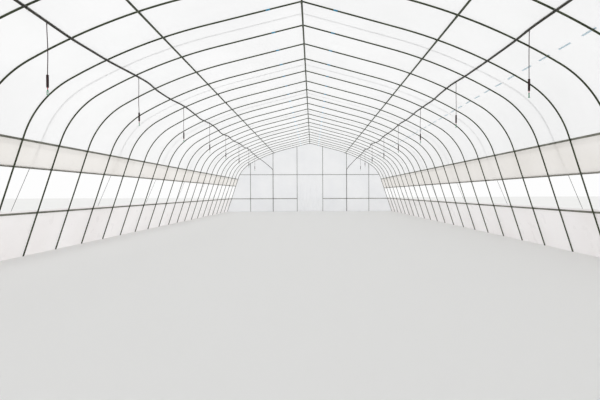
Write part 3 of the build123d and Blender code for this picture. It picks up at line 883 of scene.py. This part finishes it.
# Near door roll. The near doorway's curtain is rolled up from its foot and tied to the inner side of the
# head rail with three flat straps, so that the way in stays open.
door_roll_radius = 0.03
door_roll_overlap = 0.04
roll_turns = 15
roll_turn_steps = 16
roll_unevenness = 0.0012
roll_slide = 0.006
roll_share = 0.993
roll_core = 0.007
strap_width = 0.02
strap_thickness = 0.0012
strap_gap = 0.0004
strap_steps = 12
strap_reaches = (-0.5, 0.0, 0.5)
strap_blue = (0.04, 0.1, 0.24, 1)
strap_faded = (0.1, 0.19, 0.34, 1)
rail_place = -(half_length - 2 * pipe_radius - film_seam)
roll_rise = door_roll_radius - pipe_radius
roll_apart = door_roll_radius + pipe_radius + film_seam
roll_middle = Vector((0, rail_place + math.sqrt(roll_apart**2 - roll_rise**2), head_rail_height + roll_rise))
rail_middle = Vector((0, rail_place, head_rail_height))
roll_half_width = door_post_reach + door_roll_overlap


def rolled_point(column, reach):
    """Columns run out along the spiral, from the roll's core to its outside."""
    turns = column / roll_turn_steps
    radius = roll_core + (door_roll_radius - roll_core) * turns / roll_turns
    radius -= roll_unevenness * abs(noise.noise(Vector((reach * 5.0, turns * 0.9, 80.0))))
    angle = 2 * math.pi * turns
    slide = roll_slide * noise.noise(Vector((turns * 0.7, reach * 0.1, 85.0)))
    return roll_middle + Vector((reach + slide * reach, radius * math.cos(angle), radius * math.sin(angle)))


roll_reaches = [roll_half_width * (step / 20 - 1) * roll_share for step in range(41)]
door_roll = film_sheet("near_door_roll_sheet", roll_turn_steps * roll_turns + 1, roll_reaches, rolled_point,
                       gable_plastic)
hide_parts("near_door_roll")


def belt_round(first, first_radius, second, second_radius, reach):
    """Points of a belt pulled tight round two level pipes that run across the tunnel."""
    apart = second - first
    lean = math.atan2(apart.z, apart.y)
    open_angle = math.acos((first_radius - second_radius) / apart.length)
    points = []
    for middle, radius, start, turn in ((first, first_radius, lean + open_angle, 2 * (math.pi - open_angle)),
                                        (second, second_radius, lean - open_angle, 2 * open_angle)):
        for step in range(strap_steps + 1):
            angle = start + turn * step / strap_steps
            points.append(middle + Vector((reach, radius * math.cos(angle), radius * math.sin(angle))))
    return points


def flat_band_faces(count, closed):
    """Faces of a band with a flat rectangular section, from four edge lines of so many points each."""
    faces = []
    for first, second in ((0, 1), (1, 3), (3, 2), (2, 0)):
        for step in range(count if closed else count - 1):
            after = (step + 1) % count
            faces.append((first * count + step, first * count + after, second * count + after,
                          second * count + step))
    return faces


straps = []
for reach in strap_reaches:
    loops = []
    for edge in (-0.5, 0.5):
        for lift in (strap_gap, strap_thickness + strap_gap):
            loops.append(belt_round(rail_middle, pipe_radius + lift, roll_middle, door_roll_radius + lift,
                                    reach + edge * strap_width))
    straps.append(([point for loop in loops for point in loop], flat_band_faces(len(loops[0]), True)))
strap_weave = worn_surface("woven_strap", strap_blue, strap_faded, 50.0, 0.6, 0.85, 700.0, 0.0004)
show_piece("door_roll_straps", mesh_of("door_roll_straps", straps, strap_weave))


# End clamps. Short springy shells of grey plastic pipe snap over the end hoops, and hold the roof film and
# the gable film against them.
clamp_inside = 0.0145
clamp_thickness = 0.0016
clamp_length = 0.06
clamp_spacing = 0.55
clamp_margin = 0.25
clamp_open_angle = -62
clamp_wrap_angle = 214
clamp_steps = 12
clamp_grey = (0.32, 0.34, 0.35, 1)
clamp_pale = (0.45, 0.46, 0.46, 1)
clamp_plastic = worn_surface("grey_clamp_plastic", clamp_grey, clamp_pale, 40.0, 0.35, 0.55, 400.0, 0.0002)


def end_clamp(distance, end, side):
    """A shell that is open towards the inside of the tunnel, round the end hoop."""
    downward, outward = hoop_ways(distance, side)
    points = []
    for shift in (-0.5, 0.5):
        middle = hoop_point(distance + shift * clamp_length, 0, end * half_length, side)
        for radius in (clamp_inside, clamp_inside + clamp_thickness):
            for step in range(clamp_steps + 1):
                angle = math.radians(clamp_open_angle + clamp_wrap_angle * step / clamp_steps)
                out_way = outward * math.sin(angle) + along_tunnel * (end * math.cos(angle))
                points.append(middle + out_way * radius)
    count = clamp_steps + 1
    faces = flat_band_faces(count, False)
    faces += [tuple(edge * count + step for edge in (0, 1, 3, 2)) for step in (0, clamp_steps)]
    return points, faces


clamps = []
clamp_count = int((upper_lock - 2 * clamp_margin) / clamp_spacing)
for end in (-1, 1):
    for side in (-1, 1):
        for number in range(clamp_count):
            clamps.append(end_clamp(clamp_margin + clamp_spacing * number, end, side))
show_piece("end_clamps", mesh_of("end_clamps", clamps, clamp_plastic))


# Water hoses. A black plastic hose runs under each side of the roof, fed by a riser at the far gable and
# plugged at the near end. It is wired to every hoop together with a twisted line, and wavers in between.
hose_radius = 0.0125
tie_wire = 0.0009
line_radius = 0.002
line_turn_length = 0.04
line_step = 0.1
line_inset = 0.15
line_end_gap = 0.002
groove_share = 0.66
hose_dark = (0.016, 0.015, 0.011, 1)
hose_dusty = (0.045, 0.042, 0.03, 1)
line_grey = (0.24, 0.24, 0.21, 1)
line_pale = (0.55, 0.55, 0.5, 1)
hose_plastic = worn_surface("dusty_hose_plastic", hose_dark, hose_dusty, 16.0, 0.4, 0.65, 260.0, 0.0005)
line_twine = worn_surface("twisted_line_fibre", line_grey, line_pale, 60.0, 0.6, 0.9, 900.0, 0.0004)
dress(hose_plastic, "left_water_hose", "right_water_hose", "hose_end_plugs", "riser_pipes")


def middles_along(node, side, places):
    """The middles of a long CAD piece on one side, where it crosses planes across the tunnel."""
    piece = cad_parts[node]
    points = [piece.matrix_world @ vertex.co for vertex in piece.data.vertices]
    edges = [[points[index] for index in edge.vertices] for edge in piece.data.edges]
    edges = [(start, stop) for start, stop in edges if start.x * side > 0]
    middles = []
    for place in places:
        crossings = [start.lerp(stop, (place - start.y) / (stop.y - start.y)) for start, stop in edges
                     if (start.y - place) * (stop.y - place) < 0]
        spans = [(min(axis), max(axis)) for axis in zip(*crossings)]
        middles.append(Vector(((spans[0][0] + spans[0][1]) / 2, place, (spans[2][0] + spans[2][1]) / 2)))
    return middles


def hose_tie(hose_middle, side):
    """A loop of thin wire round a hoop and the hose that crosses under it, with its twisted ends."""
    flat = Vector((abs(hose_middle.x), 0, hose_middle.z)) - roof_centre
    slope = math.atan2(flat.x, flat.z)
    distance = roof_straight + roof_bend_radius * (slope - roof_pitch)
    depth = roof_bend_radius - flat.length
    downward, outward = hoop_ways(distance, side)
    crossing = hoop_point(distance, 0, hose_middle.y, side)
    over = pipe_radius + tie_wire
    round_hose = hose_radius + tie_wire
    half = [(0.2 * over, 0.6 * over, 0.8 * over), (0.6 * over, 1.02 * over, 0.1 * over),
            (0.9 * round_hose, 1.02 * over, -0.5 * depth), (1.04 * round_hose, 0.7 * over, -depth),
            (0.72 * round_hose, 0.25 * over, -depth - 0.76 * round_hose)]
    loop = [(0, 0, over)] + half + [(0, 0, -depth - 1.04 * round_hose)]
    loop += [(-along, -across, out) for along, across, out in reversed(half)] + [(0, 0, over)]
    shapes = []
    for path in (loop, [(0, 0, -depth - round_hose), (0.003, 0.002, -depth - round_hose - 0.012),
                        (0.009, 0.004, -depth - round_hose - 0.02)]):
        wire = [crossing + downward * along + along_tunnel * across + outward * out
                for along, across, out in path]
        shapes.append(tube_rings(wire, tie_wire, 4))
    return shapes


ties = []
for side, side_name in both_sides:
    for hose_middle in middles_along(f"{side_name}_water_hose", side, hoop_places()[1:-1]):
        ties += hose_tie(hose_middle, side)
show_piece("hose_ties", mesh_of("hose_ties", ties, wire_zinc))


def laid_rope(path, radius, strands, turn_length, steps_in_turn):
    """Points and faces of a twisted rope along a path: a tube with a lobe for each of its strands."""
    lengths = [0.0]
    for before, after in zip(path, path[1:]):
        lengths.append(lengths[-1] + (after - before).length)
    rings = max(2, round(lengths[-1] / turn_length * steps_in_turn))
    middles = []
    piece = 0
    for ring in range(rings + 1):
        along = lengths[-1] * ring / rings
        while piece < len(path) - 2 and lengths[piece + 1] < along:
            piece += 1
        share = (along - lengths[piece]) / (lengths[piece + 1] - lengths[piece])
        middles.append(path[piece].lerp(path[piece + 1], share))
    sides = 2 * strands

    def lobe(ring, corner):
        turn = corner / sides + ring / steps_in_turn
        return 2 * math.pi * turn, radius * (1.0 if corner % 2 else groove_share)

    return swept(middles, sides, lobe)


lines = []
line_start = line_inset + line_end_gap - half_length
line_run = half_length - hoop_spacing - line_end_gap - line_start
line_count = round((2 * half_length - hoop_spacing - line_inset) / line_step)
line_places = [line_start + line_run * step / line_count for step in range(line_count + 1)]
for side in (-1, 1):
    middles = middles_along("hose_lines", side, line_places)
    lines.append(laid_rope(middles, line_radius, 2, line_turn_length, 6))
twisted_lines = show_piece("twisted_lines", mesh_of("twisted_lines", lines, line_twine, 80))
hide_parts("hose_lines")


# Take-off fittings. A small barbed plastic fitting is pushed into the hose's underside above each drop,
# and the drop's tube is pushed over its lower barb.
take_off_profile = [(0.0022, 0.0008), (0.0056, 0.0), (0.006, -0.0012), (0.006, -0.0034), (0.0038, -0.0042)]
take_off_profile += [(0.0038, -0.0092), (0.0058, -0.0098), (0.006, -0.0108), (0.006, -0.0128)]
take_off_profile += [(0.0046, -0.0136), (0.0044, -0.0185), (0.0037, -0.02)]
take_offs = []
for top in tops_of("drop_fittings"):
    points, faces = turned(take_off_profile, 14)
    take_offs.append(([top + Vector(point) for point in points], faces))
take_off_mesh = mesh_of("take_off_fittings", take_offs, tube_plastic)
take_off_fittings = show_piece("take_off_fittings", take_off_mesh)
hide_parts("drop_fittings")


# Hold-down ropes and pegs. A three-strand rope over every third bay presses the film down against the wind,
# and is wound round a steel peg driven into the ground at each side.
rope_radius = 0.004
rope_turn_length = 0.05
rope_stand_off = 0.17
rope_end_height = 0.045
peg_radius = 0.008
peg_turns = 1.75
winding_rise = 0.018
winding_steps = 24
rope_steps = 60
rope_grey = (0.09, 0.092, 0.09, 1)
rope_pale = (0.2, 0.205, 0.2, 1)
peg_rust = (0.09, 0.05, 0.03, 1)
peg_steel = (0.2, 0.19, 0.17, 1)
rope_fibre = worn_surface("twisted_rope_fibre", rope_grey, rope_pale, 35.0, 0.7, 0.95, 900.0, 0.0005)
peg_finish = worn_surface("rusty_peg_steel", peg_rust, peg_steel, 60.0, 0.5, 0.8, 400.0, 0.0006)
dress(peg_finish, "rope_pegs")

rope_foot_reach = half_span + rope_stand_off * math.cos(leg_lean)
rope_bottom = Vector((rope_foot_reach, 0, rope_stand_off * math.sin(leg_lean)))
rope_bottom += Vector((-math.tan(leg_lean), 0, 1)) * (rope_end_height - rope_bottom.z)
rope_out = film_rest - rope_dip + rope_radius
to_bottom = rope_bottom - shoulder_centre
leave_turn = math.acos((shoulder_radius + rope_out) / to_bottom.length)
leave_slope = math.atan2(to_bottom.x, to_bottom.z) - leave_turn
leave_distance = roof_arc_end + shoulder_radius * (leave_slope - shoulder_end_slope)
half_rope = [hoop_point(leave_distance * step / rope_steps, rope_out, 0) for step in range(1, rope_steps + 1)]
half_rope.append(rope_bottom)
peg_middle = rope_bottom + Vector((rope_radius + peg_radius, 0, 0))
for step in range(1, winding_steps + 1):
    angle = math.pi + 2 * math.pi * peg_turns * step / winding_steps
    winding = Vector((math.cos(angle), math.sin(angle), 0)) * (peg_radius + rope_radius)
    half_rope.append(peg_middle + winding + Vector((0, 0, winding_rise * step / winding_steps)))
ridge_top = Vector((0, 0, ridge_height - ridge_drop + rope_out))
rope_path = [Vector((-point.x, point.y, point.z)) for point in reversed(half_rope)] + [ridge_top] + half_rope
rope_shapes = [laid_rope(rope_path, rope_radius, 3, rope_turn_length, 6)]
rope_mesh = mesh_of("hold_down_rope", rope_shapes, rope_fibre, 80)
for number, place in enumerate(rope_places(), start=1):
    rope = show_piece(f"hold_down_rope_{number}", rope_mesh, (0, place, 0))
    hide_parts("hold_down_ropes")


# Floor. A plain pale floor, which isn't part of the tunnel. It is level with the hoops' feet, and so wide
# that its far edge lies near the horizon.
floor_size = 160.0
floor_grey = (0.78, 0.78, 0.77, 1)
floor_roughness = 0.9
floor_paint, floor_nodes = new_material("pale_floor")[:2]
floor_nodes["Principled BSDF"].inputs["Base Color"].default_value = floor_grey
floor_nodes["Principled BSDF"].inputs["Roughness"].default_value = floor_roughness
floor_corners = [(x * floor_size / 2, y * floor_size / 2, 0) for x, y in ((-1, -1), (1, -1), (1, 1), (-1, 1))]
floor = bpy.data.objects.new("floor", mesh_of("floor", [(floor_corners, [(0, 1, 2, 3)])], floor_paint))
bpy.context.scene.collection.objects.link(floor)


# Light. A bright even sky with a wide soft sun high on the left, as on a thinly clouded day. The picture
# shows the colours as they are lit, without a film-like curve.
sky_strength = 0.99
sun_strength = 0.4
sun_spread = math.radians(50)
sun_turn = (math.radians(20), math.radians(-28), 0)
sky = bpy.data.worlds.new("bright_sky")
sky.use_nodes = True
sky.node_tree.nodes["Background"].inputs["Color"].default_value = (1.0, 1.0, 1.0, 1)
sky.node_tree.nodes["Background"].inputs["Strength"].default_value = sky_strength
bpy.context.scene.world = sky
sun_data = bpy.data.lights.new("soft_sun", "SUN")
sun_data.energy = sun_strength
sun_data.angle = sun_spread
sun = bpy.data.objects.new("soft_sun", sun_data)
sun.rotation_euler = sun_turn
bpy.context.scene.collection.objects.link(sun)
bpy.context.scene.view_settings.view_transform = "Standard"
